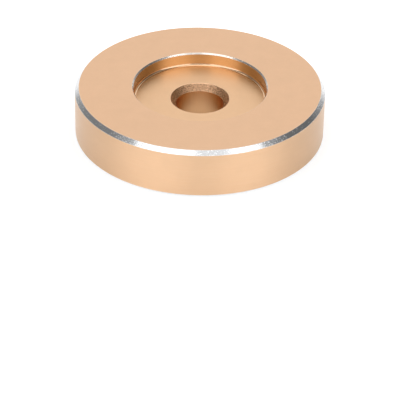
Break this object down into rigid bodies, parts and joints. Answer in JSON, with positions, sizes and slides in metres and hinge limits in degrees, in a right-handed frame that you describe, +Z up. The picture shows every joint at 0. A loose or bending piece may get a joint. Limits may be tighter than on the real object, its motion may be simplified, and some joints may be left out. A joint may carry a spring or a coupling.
{
  "type": "record spindle adapter",
  "caption": "Round metal disc with a stepped recess around a countersunk middle bore, which centres a large-hole record on a small platter spindle.",
  "frame": {"origin": "centre of the flat side, on the turning axis, where the disc rests on a platter or a table", "axes": "+Z up along the turning axis, from the flat side to the recessed side"},
  "size_m": [0.038, 0.038, 0.008],
  "materials": {
    "gold_anodised": "fine satin anodised in champagne gold, with bright cut bare aluminium on both rims and on the lip of the recess"
  },
  "bodies": {
    "root": {"adapter_disc": "gold_anodised"}
  },
  "joints": []
}
